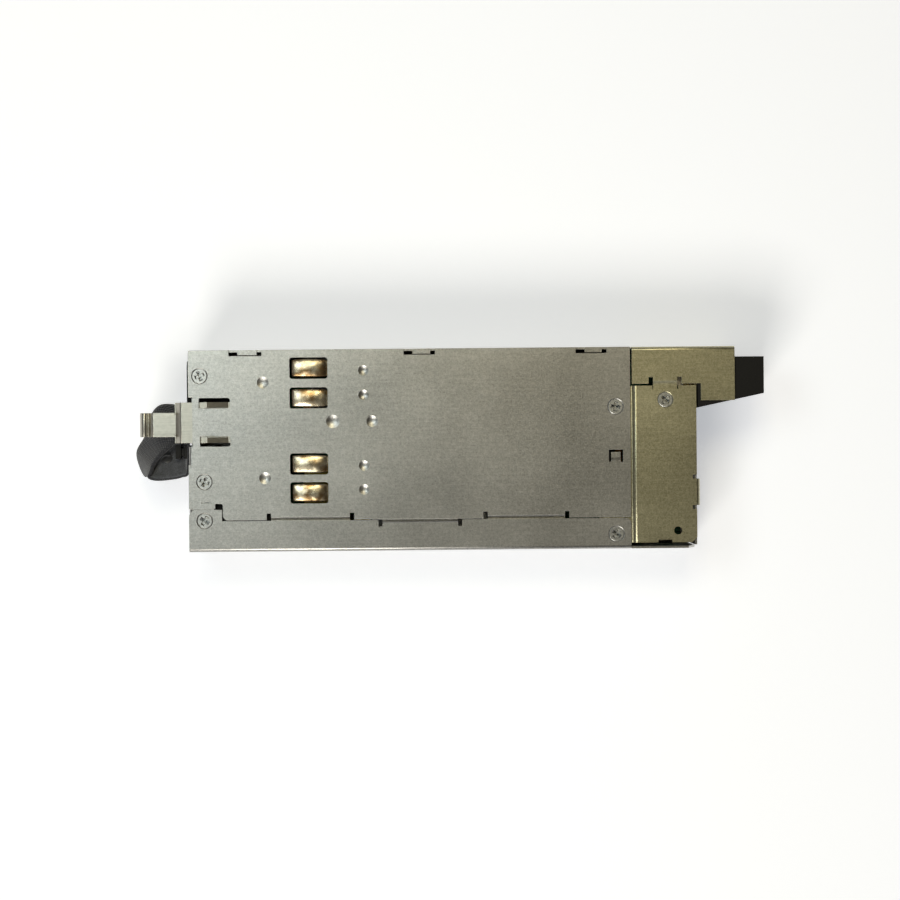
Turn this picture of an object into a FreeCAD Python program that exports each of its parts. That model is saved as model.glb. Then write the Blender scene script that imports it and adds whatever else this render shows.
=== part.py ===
import FreeCAD, Part
import math
import os

# Hot swap server power supply: a folded steel casing with a spring release
# latch, a cord strap, an inlet, a fan, a mains to low voltage converter and a
# blind mating connector.
#
# It lies on its large face.  X runs from the rear panel, with the latch and
# the inlet, to the connector end.  Z is up.  The origin is the middle of the
# casing's underside.  All sizes are in millimetres.

# ---- casing ----
case_length = 185.0
case_width = 73.5
case_height = 40.0
sheet = 0.8               # casing steel
bend = 0.4                # inside radius of a fold
seam = 0.3                # gap between two sheet edges that meet
lap = 0.05                # clearance of a tab that slides under a sheet
fit = 0.45                # side clearance of a panel, clear of the tray's fold
end_bay = 24.0            # bay at the connector end, beyond the main cover

flange_width = 11.2       # return flange of the tray, seen beside the cover
flange_corner = 2.0
lobe_length = 12.0        # rear lobe of the flange, which takes a screw
lobe_rise = 4.2
lobe_corner = 2.5
cover_corner = 1.5

joggle_run = 1.0          # length of the slope in a joggled tab
tab_reach = 4.0
relief_width = 1.5        # notch at each end of a tab
relief_depth = 2.4
rear_tab = (29.8, 58.6)           # start and end, from the rear edge
flange_tab = (-10.1, 17.4)        # from the middle of the cover
front_tab = (-52.3, -24.1)        # from the seam

rear_hook = (14.9, 26.8)          # notches and tabs of the far edge, as above
middle_hook = (-1.9, 9.5)
front_hook = (-19.7, -8.6)
hook_depth = 2.2          # notch in the edge of the cover
hook_reach = 1.9          # folded tab of the side wall that fills it
hook_start = 3.2
hook_end = 1.7

rear_notch = (-5.0, 19.7)         # recess in the cover's rear edge, across
rear_notch_depth = 1.5
key_notch = (9.6, 1.9)            # square notch beside the lobe: start, depth
key_slit = (4.6, 8.2, 2.0, 0.6)   # start, end, distance above the lobe, width

window_length = 13.8              # windows over the ground springs
window_width = 7.8
window_corner = 1.0
window_x = 43.9                   # their middle, from the rear edge
upper_windows = (17.65, 6.75)     # from the far side
lower_windows = (10.15, 20.65)    # from the seam beside the flange

dimple_depth = 0.6
spring_dimple_x = 63.9
upper_spring_dimples = (16.75, 7.85)
lower_spring_dimples = (11.15, 19.85)
spring_dimple_radius = 1.9
latch_dimples = [(52.6, 2.45), (66.9, 2.1)]   # from the rear edge, radius
free_dimples = [(27.2, 24.8), (27.8, -10.0)]
free_dimple_radius = 2.15

lance_inset = 5.4                 # lanced hook, from the seam
lance_y = -2.9
lance_length = 5.1
lance_width = 4.4
lance_slit = 0.8
lance_drop = 0.5

# ---- countersunk screws ----
head_radius = 3.0
shank_radius = 1.5
screw_length = 2.7
rear_screws = [(4.2, 27.4), (5.7, -11.2)]     # in the cover, from the rear edge
lobe_screw = (5.7, 11.4)                      # from the rear and the side edge
seam_screw_inset = 5.4
seam_screw_y = 15.0
flange_screw_y = 5.4                          # from the side edge
bay_screw = (12.8, 19.35)                     # from the seam and from the far side

# ---- end cover, connector bracket and end panel ----
end_tongue = 11.5                 # part of the end cover under the main cover
end_step = 0.6
end_step_run = 1.2
end_near = 2.15                   # edge of the end cover from the side
end_from_side = 14.25             # far edge of the end cover from the far side
end_corner = 1.8
end_clip = (-21.1, -11.5)         # folded clip outside the end panel
end_clip_drop = 6.0
end_clip_gap = 0.3
end_hole_radius = 1.45
end_hole = (17.0, 6.45)           # from the seam and from the side
end_notch = (9.8, 14.9, 1.0)      # start and end from the seam, depth
bracket_gap = 0.6
bracket_reach = 14.1              # beyond the casing
bracket_width = 13.55
bracket_step_x = 1.7              # where the bracket widens, from the front
bracket_wide_width = 19.75
bracket_flange = 9.0
bracket_tab = (8.3, 17.2)         # start and end, from the seam
bracket_tab_reach = 9.5
vent_from_side = 23.25
panel_flange = 8.0
bay_wall_drop = 1.2
bay_taper = 3.0
tongue_width = 21.75
vent_hole = 5.8
vent_pitch = 7.2
vent_margin = 1.6

# ---- rear panel ----
rear_top_flange = 9.0
latch_window = (1.7, 19.7)
latch_window_depth = 12.0
fan_hole = 4.8
fan_hole_pitch = 5.8
inlet_z = 13.9
inlet_width = 27.0
inlet_height = 19.6
inlet_fit = 0.25
light_inset = 6.25                # from the far side
light_drop = 9.5                  # from the cover's face
light_size = 3.0                  # square window of the light pipe
light_lip = 0.8
light_length = 9.0

# ---- release latch ----
latch_sheet = 0.8
latch_gap = 0.3                   # latch to the underside of the cover
latch_y = 10.45
latch_width = 14.8
leaf_width = 9.8
leaf_end = 66.9 + 5.5             # end of the root leaf, from the rear edge
flex_x = 42.5                     # line where the leaf flexes, from the rear
flex_gap = 0.15
leaf_widen = 18.0                 # where the leaf becomes wide, from the rear
latch_out = 5.2                   # wide part beyond the casing
tongue_y = 9.75
tongue_width = 8.8
tongue_step = 2.0
tongue_out = 13.6
pad_valley = 1.8
pad_crest = 0.4
pad_out = 18.2
lip_height = 0.7
tooth_start = 6.0                 # catch teeth, from the rear edge
tooth_length = 8.4
tooth_width = 2.0
tooth_rise = 1.7                  # above the cover
tooth_flat = 1.0
latch_slots = [(3.9, 15.2, 15.6, 19.4), (4.3, 15.3, 1.7, 5.5)]
slot_corner = 1.0

# ---- ground springs ----
spring_sheet = 0.3
spring_width = 6.6
spring_rise = 0.7                 # crown above the cover
spring_root = 60.5 + 8.0          # end of the root strip, from the rear edge
spring_tip = 2.0
crown_flat = 7.0
crown_bend = 3.0
spring_clear = 0.4

# ---- cord strap ----
strap_thickness = 1.2
strap_gap = 2.3                   # in front of the rear panel, clear of the inlet
strap_offset = 9.8                # near edge of the loop from the anchor
strap_rise = 2.8                  # upper edge from the anchor's middle
strap_loop = [(0.0, 1.0), (14.6, 0.0), (14.8, 5.0), (9.6, 11.8), (0.0, 15.6)]
strap_corners = [1.6, 2.6, 4.5, 6.0, 2.0]
strap_runs = 22                   # straight runs that stand for the soft loop
strap_lean = 11.4                 # lower edge from the upper edge, across
strap_fall = 13.0                 # and down
anchor_inset = 0.7                # anchor's middle from the fan's side
anchor_rise = 0.32                # from the fan's middle, over the fan's size
anchor_width = 5.0
anchor_height = 4.4
anchor_head = 2.0
anchor_stem = 2.8                 # square stem
anchor_barb = 3.6                 # square barb behind the panel
anchor_barb_length = 1.6
anchor_fit = 0.2                  # barb to the gasket

# ---- inlet ----
bezel_width = 30.5
bezel_height = 22.4
bezel_proud = 2.0
bezel_corner = 2.5
socket_width = 24.4
socket_height = 16.6
socket_depth = 15.5
socket_chamfer = 5.2
inlet_depth = 18.0
pin_width = 4.0
pin_thickness = 2.0
pin_reach = 13.0
pin_tail = 4.0
pin_spread = 7.0
pin_offset = 2.0

# ---- fan ----
fan_head_room = 4.0               # casing's height less the fan's
fan_length = 28.0
fan_rim = 1.3
fan_clip_width = 14.0             # clip on the floor that holds the fan forwards
fan_clip_height = 7.0
fan_clip_foot = 8.0
gasket = 3.0
gasket_clearance = 0.2
fan_floor_gap = 0.05
hub_radius = 8.6
hub_wall = 0.8
hub_length = 21.0
hub_front = 2.5                   # hub behind the fan's front face
blade_count = 5
blade_tip_gap = 0.5
blade_thickness = 0.9
blade_chord = 13.0
blade_pitch = 42.0
blade_camber = 1.2
stator_gap = 0.5
stator_length = 12.0
stator_yoke = 1.2
stator_pole = 3.0
tube_radius = 3.3
tube_gap = 0.6
tube_floor = 0.6
shaft_end_gap = 1.0
shaft_radius = 1.0
shaft_fit = 0.03
bearing_length = 9.0
bearing_radius = 2.6
mount_thickness = 2.0
spoke_width = 2.2
spoke_count = 4

# ---- boards ----
film = 0.4
board = 1.6
board_lift = 4.0                  # board above the floor
board_start = 34.0                # from the rear edge
board_end_gap = 3.0
board_side_gap = 1.6
board_tongue = 11.0               # beyond the casing, under the connector
board_tongue_inset = 2.0
standoff_radius = 2.75            # six-sided, over the corners
standoff_stem = 1.5
standoff_head = 2.1
standoff_head_height = 1.0
standoff_inset = 4.0              # from the board's edges and from the seam
foot_gap = 0.5                    # film and standoffs to the folded feet

# ---- electronics; sizes are length along X, width and height ----
part_gap = 1.5
lead_height = 3.0                 # upright parts stand on their leads
first_part = 7.0                  # from the board's rear edge
film_capacitor = (24.0, 8.5, 16.0)
film_capacitors = 3
fuse = (20.0, 5.0, 6.5)
input_choke_core = (18.0, 22.0, 19.0)
boost_core = (22.0, 27.0, 22.0)
core_leg = 5.0
core_window = 5.0
core_yoke = 4.0
coil_reach = 3.0                  # coil beyond the core, at each end
can_radius = 10.5
sink_fins = 4
sink_pitch = 6.0
sink_fin = 1.5
sink_reach = 8.0
sink_base = 2.5
bridge = (20.0, 4.6, 18.0)
transistor = (5.0, 15.5, 20.0)    # thickness, width and height
transistors = 2
transformer_core = (21.0, 26.0, 22.0)
output_choke = (18.0, 15.0, 18.0)
rectifier = (4.6, 10.0, 15.0)
rectifiers = 3
second_sink = (3.0, 40.0, 26.0)   # thickness, width and height
second_sink_foot = 8.0
second_sink_inset = 17.0          # from the board's front edge
output_can_radius = 4.0
output_can_height = 15.0
output_cans = 3
control_size = (34.0, 1.6, 22.0)

# ---- connector ----
housing_start = 0.6               # beyond the casing
housing_reach = 24.8
housing_inset = 3.85              # far face from the far side
housing_width = 18.5
housing_tip_width = 13.4
housing_top_gap = 0.2
blade_slots = 6
slot_width = 8.6
slot_height = 2.2
slot_depth = 12.0
slot_pitch = 4.0
signal_height = 3.6
contact_thickness = 0.9
contact_width = 7.4
contact_tail = 5.0                # behind the housing
contact_recess = 1.5              # contacts set back from the face
signal_columns = 6
signal_pitch = 1.3
signal_pin = 0.5
bar_thickness = 2.0
bar_step = 5.0

# ---- places worked out from the sizes above ----
x_rear = -case_length / 2
x_front = case_length / 2
x_seam = x_front - end_bay
y_near = -case_width / 2
y_far = case_width / 2
y_seam = y_near + flange_width
y_lobe = y_seam + lobe_rise
under_cover = case_height - sheet
under_lap = under_cover - sheet
latch_top = under_cover - latch_gap
x_flex = x_rear + flex_x
end_far = y_far - end_from_side
bracket_edge = y_far - bracket_width
bracket_step_y = y_far - bracket_wide_width
vent_far = y_far - vent_from_side
tongue_near = y_far - tongue_width
housing_far = y_far - housing_inset
housing_near = housing_far - housing_width
housing_near_tip = housing_far - housing_tip_width
fan_size = case_height - fan_head_room
fan_bore = fan_size / 2 - fan_rim
fan_x = x_rear + sheet + gasket
fan_y = y_near + sheet + fit + fan_size / 2
fan_z = sheet + fan_floor_gap + fan_size / 2
fan_side = fan_y + fan_size / 2
anchor_y = fan_side - anchor_inset
anchor_z = fan_z + anchor_rise * fan_size
strap_near = anchor_y - strap_offset
strap_top = anchor_z + strap_rise
inlet_y = (fan_side + y_far - sheet) / 2
light_y = y_far - light_inset
light_z = case_height - light_drop
board_bottom = sheet + board_lift
board_top = board_bottom + board
x_board = x_rear + board_start
x_board_end = x_front - board_end_gap
y_board = y_far - sheet - board_side_gap
housing_top = under_cover - housing_top_gap

V = FreeCAD.Vector
ALONG_X = V(1, 0, 0)
ALONG_Z = V(0, 0, 1)


# ---- forming tools ----

def at(plane, u, v, w):
    """The point u, v of a plane named by its axes, w along the third axis."""
    if plane == "xy":
        return V(u, v, w)
    if plane == "xz":
        return V(u, w, v)
    return V(w, u, v)


def rounded(before, here, after, radius):
    """Start, middle and end of the arc that rounds one corner of an outline."""
    into = (here - before).normalize()
    out = (after - here).normalize()
    turn = into.getAngle(out)
    if radius <= 0 or turn < 1e-6:
        return here, None, here
    reach = radius * math.tan(turn / 2)
    rise = radius / math.cos(turn / 2) - radius
    middle = here + (out - into).normalize() * rise
    return here - into * reach, middle, here + out * reach


def outline(points, radii, plane, level):
    """Closed wire of straight runs, with an arc of its own radius at each corner."""
    if not isinstance(radii, list):
        radii = [radii] * len(points)
    corners = [V(u, v, 0) for u, v in points]
    turns = []
    for i, here in enumerate(corners):
        after = corners[(i + 1) % len(corners)]
        turns.append(rounded(corners[i - 1], here, after, radii[i]))
    edges = []
    for i, (start, middle, end) in enumerate(turns):
        a, c = (at(plane, p.x, p.y, level) for p in (start, end))
        if middle is not None:
            b = at(plane, middle.x, middle.y, level)
            edges.append(Part.Arc(a, b, c).toShape())
        following = turns[(i + 1) % len(turns)][0]
        d = at(plane, following.x, following.y, level)
        if c.distanceToPoint(d) > 1e-6:
            edges.append(Part.LineSegment(c, d).toShape())
    return Part.Wire(edges)


def prism(points, radii, plane, low, high):
    """Rounded outline pushed from low to high along the third axis."""
    face = Part.Face(outline(points, radii, plane, low))
    return face.extrude(at(plane, 0, 0, high - low))


def slab(x0, x1, y0, y1, z0, z1, radius=0):
    """Block between two corners, with its upright edges rounded."""
    points = [(x0, y0), (x1, y0), (x1, y1), (x0, y1)]
    return prism(points, radius, "xy", z0, z1)


def upright(y0, y1, z0, z1, x0, x1, radius=0):
    """Block whose edges along X are rounded."""
    points = [(y0, z0), (y1, z0), (y1, z1), (y0, z1)]
    return prism(points, radius, "yz", x0, x1)


def folded(points, thickness, side, plane, low, high, inside=bend):
    """Sheet folded along a path on one of its faces; side is 1 with the metal
    on the left of the path and -1 with it on the right.  The inside radius is
    one value, or one for each point, and a fold without one is sharp."""
    path = [V(u, v, 0) for u, v in points]
    insides = inside if isinstance(inside, list) else [inside] * len(path)
    back = []
    near_radii = []
    far_radii = []
    for i, here in enumerate(path):
        into = (here - path[i - 1] if i else path[1] - here).normalize()
        out = (path[i + 1] - here if i < len(path) - 1 else here - path[i - 1]).normalize()
        normal_in = V(-into.y, into.x, 0) * side
        normal_out = V(-out.y, out.x, 0) * side
        shift = (normal_in + normal_out) * (thickness / (1 + normal_in.dot(normal_out)))
        back.append(here + shift)
        toward_metal = (into.x * out.y - into.y * out.x) * side
        sharp = not insides[i] or i in (0, len(path) - 1)
        near_radii.append(0 if sharp else insides[i] + (thickness if toward_metal > 0 else 0))
        far_radii.append(0 if sharp else insides[i] + (thickness if toward_metal < 0 else 0))
    corners = [(p.x, p.y) for p in path + back[::-1]]
    return prism(corners, near_radii + far_radii[::-1], plane, low, high)


def rod(radius, x0, x1, y, z):
    """Cylinder along X."""
    return Part.makeCylinder(radius, x1 - x0, V(x0, y, z), ALONG_X)


def post(radius, z0, z1, x, y):
    """Cylinder along Z."""
    return Part.makeCylinder(radius, z1 - z0, V(x, y, z0), ALONG_Z)


def hexagons(width, pitch, u0, u1, v0, v1, inside, plane, low, high):
    """Honeycomb of six-sided holes whose middles pass the test inside(u, v)."""
    radius = width / math.sqrt(3)
    row_step = pitch * math.sqrt(3) / 2
    rows = int((v1 - v0) / 2 / row_step)
    columns = int((u1 - u0) / 2 / pitch) + 1
    holes = []
    for row in range(-rows, rows + 1):
        for column in range(-columns, columns + 1):
            u = (u0 + u1) / 2 + pitch * (column + 0.5 * (row % 2))
            v = (v0 + v1) / 2 + row_step * row
            if inside(u, v):
                angles = [math.radians(60 * k + 30) for k in range(6)]
                corners = [(u + radius * math.cos(a), v + radius * math.sin(a)) for a in angles]
                holes.append(prism(corners, 0, plane, low, high))
    return holes


def screw_bore(x, y):
    """Countersink in the upper sheet and threaded bore in the sheet below it."""
    cone = Part.makeCone(shank_radius, head_radius, sheet, V(x, y, under_cover))
    return cone.fuse(post(shank_radius, under_lap - 1, under_cover, x, y))


def joggled_tab(plate, edge, direction, start, end, reach, drop):
    """Tab that steps down from the edge of a plate and slides under its neighbour."""
    back = edge - direction * relief_depth
    slope = edge - direction * joggle_run
    beyond = edge + direction
    notches = [(start - relief_width, start, back), (start, end, slope), (end, end + relief_width, back)]
    cuts = []
    for x0, x1, y in notches:
        cuts.append(slab(x0, x1, min(y, beyond), max(y, beyond), under_cover - 1, case_height + 1))
    path = [(slope - direction / 2, case_height), (slope, case_height)]
    path += [(edge, case_height - drop), (edge + direction * reach, case_height - drop)]
    return plate.cut(cuts).fuse(folded(path, sheet, -direction, "yz", start, end, None))


# ---- casing ----

x_middle = (x_rear + x_seam) / 2
cover_tabs = [(x_rear + rear_tab[0], x_rear + rear_tab[1]), (x_seam + front_tab[0], x_seam + front_tab[1])]
flange_tabs = [(x_middle + flange_tab[0], x_middle + flange_tab[1])]
hook_notches = [(x_rear + rear_hook[0], x_rear + rear_hook[1]),
                (x_middle + middle_hook[0], x_middle + middle_hook[1]),
                (x_seam + front_hook[0], x_seam + front_hook[1])]
window_rows = {"upper": [y_far - y for y in upper_windows], "lower": [y_seam + y for y in lower_windows]}
rear_screw_places = [(x_rear + x, y) for x, y in rear_screws]
lobe_screw_place = (x_rear + lobe_screw[0], y_near + lobe_screw[1])
seam_screw_place = (x_seam - seam_screw_inset, seam_screw_y)
flange_screw_place = (x_seam - seam_screw_inset, y_near + flange_screw_y)
bay_screw_place = (x_seam + bay_screw[0], y_far - bay_screw[1])
bracket_end = x_front + bracket_reach


def base_tray():
    """Floor, two side walls and the return flange, folded from one sheet."""
    root = y_near + 3 * sheet
    profile = [(y_far, under_cover), (y_far, 0), (y_near, 0)]
    profile += [(y_near, case_height), (root + sheet, case_height)]
    tray = folded(profile, sheet, -1, "yz", x_rear, x_seam)
    wall_top = under_cover - bay_wall_drop
    bay = folded([(y_far, 0), (y_near, 0), (y_near, wall_top)], sheet, -1, "yz", x_seam, x_front)
    taper = [(x_front - bay_taper, wall_top), (x_front + 1, wall_top - 4 * bay_taper)]
    taper.append((x_front + 1, wall_top + 1))
    bay = bay.cut(prism(taper, 0, "xz", y_near - 1, y_near + 2 * sheet))
    tongue = slab(x_front - 5, bracket_end, tongue_near, y_far, 0, sheet)
    x_lobe = x_rear + lobe_length
    points = [(x_rear, root), (x_rear, y_lobe), (x_lobe, y_lobe), (x_lobe, y_seam)]
    points += [(x_seam, y_seam), (x_seam, root)]
    radii = [0, lobe_corner, 0, 0, flange_corner, 0]
    flange = prism(points, radii, "xy", under_cover, case_height)
    for start, end in flange_tabs:
        flange = joggled_tab(flange, y_seam, 1, start, end, tab_reach, sheet + lap)
    hooks = []
    for start, end in hook_notches:
        path = [(y_far, under_cover - 2), (y_far, case_height), (y_far - hook_reach, case_height)]
        hooks.append(folded(path, sheet, 1, "yz", start + hook_start, end - hook_end, None))
    tray = tray.fuse([bay, tongue, flange] + hooks)
    return tray.cut([screw_bore(*lobe_screw_place), screw_bore(*flange_screw_place)]).removeSplitter()


def dimple(x, y, radius):
    """Shallow draw in the upper face of the cover."""
    return Part.makeCone(0, radius, dimple_depth, V(x, y, case_height - dimple_depth))


def dimples():
    """Draws that stiffen the cover and mark where a spring is fixed under it."""
    places = [(x_rear + x, latch_y, radius) for x, radius in latch_dimples]
    places += [(x_rear + x, y, free_dimple_radius) for x, y in free_dimples]
    rows = [y_far - y for y in upper_spring_dimples] + [y_seam + y for y in lower_spring_dimples]
    places += [(x_rear + spring_dimple_x, y, spring_dimple_radius) for y in rows]
    return [dimple(*place) for place in places]


def lance_window(clearance):
    """Rectangle of the lanced hook, through both sheets."""
    x = x_seam - lance_inset
    reach = lance_length / 2 + clearance
    across = lance_width / 2 + clearance
    return slab(x - reach, x + reach, lance_y - across, lance_y + across, under_lap - 1, case_height + 1)


def lance_hook():
    """Hook left in that rectangle, hinged at its near edge and pushed down."""
    x = x_seam - lance_inset
    half = lance_length / 2 - lance_slit
    root = lance_y - lance_width / 2
    level = case_height - lance_drop
    path = [(root - 0.5, case_height), (root + 0.6, case_height), (root + 1.6, level)]
    path += [(root + lance_width - lance_slit, level)]
    return folded(path, sheet, -1, "yz", x - half, x + half, None)


def top_cover():
    """Main cover: a flat plate keyed to the tray's flange and side wall."""
    edge = y_seam + seam
    lobe_edge = y_lobe + seam
    x_lobe = x_rear + lobe_length + seam
    key_x = x_rear + key_notch[0]
    key_y = lobe_edge + key_notch[1]
    notch_x = x_rear + rear_notch_depth
    points = [(x_rear, lobe_edge), (key_x, lobe_edge), (key_x, key_y), (x_lobe, key_y)]
    points += [(x_lobe, edge), (x_seam, edge), (x_seam, y_far), (x_rear, y_far)]
    points += [(x_rear, rear_notch[1]), (notch_x, rear_notch[1])]
    points += [(notch_x, rear_notch[0]), (x_rear, rear_notch[0])]
    radii = [0, 0, 0, 0.8, 2.0, 0, 0, cover_corner, 0, 0, 0, 0]
    cover = prism(points, radii, "xy", under_cover, case_height)
    for start, end in cover_tabs:
        cover = joggled_tab(cover, edge, -1, start, end, tab_reach, sheet + lap)
    low, high = under_cover - 1, case_height + 1
    cuts = []
    for start, end in hook_notches:
        cuts.append(slab(start, end, y_far - hook_depth, y_far + 1, low, high))
    x = x_rear + window_x
    half = window_length / 2
    across = window_width / 2
    for y in window_rows["upper"] + window_rows["lower"]:
        cuts.append(slab(x - half, x + half, y - across, y + across, low, high, window_corner))
    for start, end, near, far in latch_slots:
        points = [(x_rear + start, near), (x_rear + end, near), (x_rear + end, far), (x_rear + start, far)]
        cuts.append(prism(points, [0, slot_corner, slot_corner, 0], "xy", low, high))
    start, end, rise, width = key_slit
    slit = lobe_edge + rise
    cuts.append(slab(x_rear + start, x_rear + end, slit, slit + width, low, high))
    cuts += [screw_bore(x, y) for x, y in rear_screw_places + [seam_screw_place]]
    cuts.append(lance_window(0))
    return cover.cut(cuts + dimples()).fuse(lance_hook()).removeSplitter()


def rear_panel():
    """Rear wall with its folded edges, punched for the fan, inlet and latch."""
    flange = [(x_rear, under_cover), (x_rear + rear_top_flange, under_cover)]
    fan_edge = fan_side + fit
    beside_fan = folded([(x_rear, sheet)] + flange, sheet, -1, "xz", y_near + sheet + fit, fan_edge)
    foot = [(x_rear + panel_flange, sheet), (x_rear, sheet)]
    beside_inlet = folded(foot + flange, sheet, -1, "xz", fan_edge, y_far - sheet - fit, [0, 0, bend, 0])
    panel = beside_fan.fuse(beside_inlet)
    inner = x_rear + sheet + bend
    cuts = [slab(x_rear - 1, x_front, *latch_window, case_height - latch_window_depth, case_height)]
    half = inlet_width / 2 + inlet_fit
    rise = inlet_height / 2 + inlet_fit
    cuts.append(upright(inlet_y - half, inlet_y + half, inlet_z - rise, inlet_z + rise, x_rear - 1, inner))
    cuts.append(light_block(light_size, x_rear - 1, inner))
    cuts.append(anchor_block(anchor_stem, anchor_stem, x_rear - 1, inner))

    def in_field(y, z):
        return math.hypot(y - fan_y, z - fan_z) < fan_bore - fan_hole / 2

    field = (fan_y - fan_bore, fan_y + fan_bore, fan_z - fan_bore, fan_z + fan_bore)
    cuts += hexagons(fan_hole, fan_hole_pitch, *field, in_field, "yz", x_rear - 1, inner)
    cuts += [screw_bore(x, y) for x, y in rear_screw_places + [lobe_screw_place]]
    return panel.cut(cuts).removeSplitter()


def end_cover():
    """Small cover of the end bay, its tongue lapped under the main cover."""
    step = x_seam + end_step
    path = [(x_seam - end_tongue, under_cover), (step, under_cover)]
    path += [(step + end_step_run, case_height), (x_front, case_height)]
    near = y_near + end_near
    cover = folded(path, sheet, -1, "xz", near, end_far)
    corner = [(x_front, near), (x_front, near + end_corner), (x_front - end_corner, near)]
    cuts = [prism(corner, 0, "xy", 0, case_height + 1)]
    start, end, depth = end_notch
    cuts.append(slab(x_seam + start, x_seam + end, near - 1, near + depth, 0, case_height + 1))
    start, end = (x_seam + x for x in bracket_tab)
    cut_edge = bracket_edge - joggle_run - 1.0
    cuts.append(slab(start - seam, end + seam, cut_edge, end_far + 1, 0, case_height + 1))
    low, high = end_clip
    for y in (low - relief_width, high):
        cuts.append(slab(x_front - relief_width, x_front + 1, y, y + relief_width, 0, case_height + 1))
    outside = x_front + end_clip_gap + sheet
    clip = [(x_front - 1, case_height), (outside, case_height), (outside, case_height - end_clip_drop)]
    cover = cover.cut(cuts).fuse(folded(clip, sheet, -1, "xz", low, high))
    cuts = [screw_bore(*place) for place in (seam_screw_place, flange_screw_place, bay_screw_place)]
    x, y = end_hole
    cuts.append(post(end_hole_radius, 0, case_height + 1, x_seam + x, y_near + y))
    cuts.append(lance_window(seam))
    return cover.cut(cuts).removeSplitter()


def connector_bracket():
    """Channel that wraps the connector: top, side wall and a foot on the floor."""
    start = x_seam + bracket_gap
    profile = [(bracket_step_y, case_height), (y_far, case_height), (y_far, sheet)]
    profile += [(y_far - bracket_flange, sheet)]
    bracket = folded(profile, sheet, -1, "yz", start, bracket_end, [0, bend, 0, 0])
    x_step = x_front + bracket_step_x
    bracket = bracket.cut(slab(start - 1, x_step, bracket_step_y - 1, bracket_edge, under_lap, case_height + 1))
    low, high = (x_seam + x for x in bracket_tab)
    bracket = joggled_tab(bracket, bracket_edge, -1, low, high, bracket_tab_reach, sheet)
    return bracket.cut(screw_bore(*bay_screw_place)).removeSplitter()


def end_vent_panel():
    """Perforated front wall, spot welded to the floor by its foot."""
    path = [(x_front - panel_flange, sheet), (x_front, sheet), (x_front, under_cover)]
    low = y_near + sheet + fit
    panel = folded(path, sheet, 1, "xz", low, vent_far, None)
    floor = 2 * sheet
    clear = vent_margin + vent_hole / 2

    def in_field(y, z):
        return low + clear < y < vent_far - clear and floor + clear < z < under_cover - clear

    field = (low, vent_far, floor, under_cover)
    holes = hexagons(vent_hole, vent_pitch, *field, in_field, "yz", x_front - 2 * sheet, x_front + 1)
    return panel.cut(holes).removeSplitter()


def casing_screws():
    """Flat head screws that hold the covers down."""
    screws = []
    places = rear_screw_places + [lobe_screw_place, seam_screw_place, flange_screw_place, bay_screw_place]
    for x, y in places:
        head = Part.makeCone(shank_radius, head_radius, sheet, V(x, y, under_cover))
        screws.append(head.fuse(post(shank_radius, case_height - screw_length, under_cover, x, y)))
    return Part.makeCompound(screws)


# ---- release latch ----

def latch_root():
    """Fixed end of the latch leaf, spot welded under the cover's two dimples."""
    half = leaf_width / 2
    low, high = latch_y - half, latch_y + half
    end = x_rear + leaf_end
    leaf = slab(x_flex + flex_gap, end, low, high, latch_top - latch_sheet, latch_top)
    pads = []
    for x, radius in latch_dimples:
        pads.append(slab(x_rear + x - radius, x_rear + x + radius, latch_y - radius, latch_y + radius,
                         latch_top - latch_sheet / 2, under_cover))
    return leaf.fuse(pads)


def release_latch():
    """Moving part of the latch: leaf, two catch teeth, tongue and thumb pad."""
    low_level = latch_top - tongue_step
    valley = x_rear - tongue_out - 1.5
    crest = x_rear - pad_out + 1.5
    path = [(x_flex - flex_gap, latch_top), (x_rear - latch_out + 2.2, latch_top)]
    path += [(x_rear - latch_out + 0.4, low_level), (x_rear - tongue_out, low_level)]
    path += [(valley, low_level - pad_valley), (crest, low_level + pad_crest)]
    path += [(x_rear - pad_out, low_level - pad_valley - 0.4)]
    low = latch_y - latch_width / 2
    high = latch_y + latch_width / 2
    strip = folded(path, latch_sheet, 1, "xz", low, high, [0, 0.3, 0.3, bend, 0.3, 0.5, 0])
    leaf = leaf_width / 2
    tongue = tongue_width / 2
    x_wide = x_rear + leaf_widen
    x_narrow = x_wide + (latch_width - leaf_width) / 2
    x_out = x_rear - latch_out
    x_tip = x_rear - pad_out - 1
    half_outline = [(x_flex, latch_y + leaf), (x_narrow, latch_y + leaf), (x_wide, high), (x_out, high)]
    half_outline += [(x_out, tongue_y + tongue), (x_tip, tongue_y + tongue)]
    near_outline = [(x_tip, tongue_y - tongue), (x_out, tongue_y - tongue), (x_out, low)]
    near_outline += [(x_wide, low), (x_narrow, latch_y - leaf), (x_flex, latch_y - leaf)]
    latch = strip.common(prism(half_outline + near_outline, 0, "xy", 0, case_height))
    lips = []
    for y in (tongue_y - tongue, tongue_y + tongue - latch_sheet):
        x0 = x_rear - tongue_out + 0.6
        lips.append(slab(x0, x_out, y, y + latch_sheet, low_level - latch_sheet / 2, low_level + lip_height))
    x_tooth = x_rear + tooth_start
    top = case_height + tooth_rise
    root = latch_top - latch_sheet / 2
    tooth = [(x_tooth, root), (x_tooth, top), (x_tooth + tooth_flat, top)]
    tooth += [(x_tooth + tooth_length, case_height - sheet / 2), (x_tooth + tooth_length, root)]
    teeth = [prism(tooth, 0, "xz", y, y + tooth_width) for y in (low, high - tooth_width)]
    return latch.fuse(lips + teeth).removeSplitter()


# ---- ground springs ----

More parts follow.
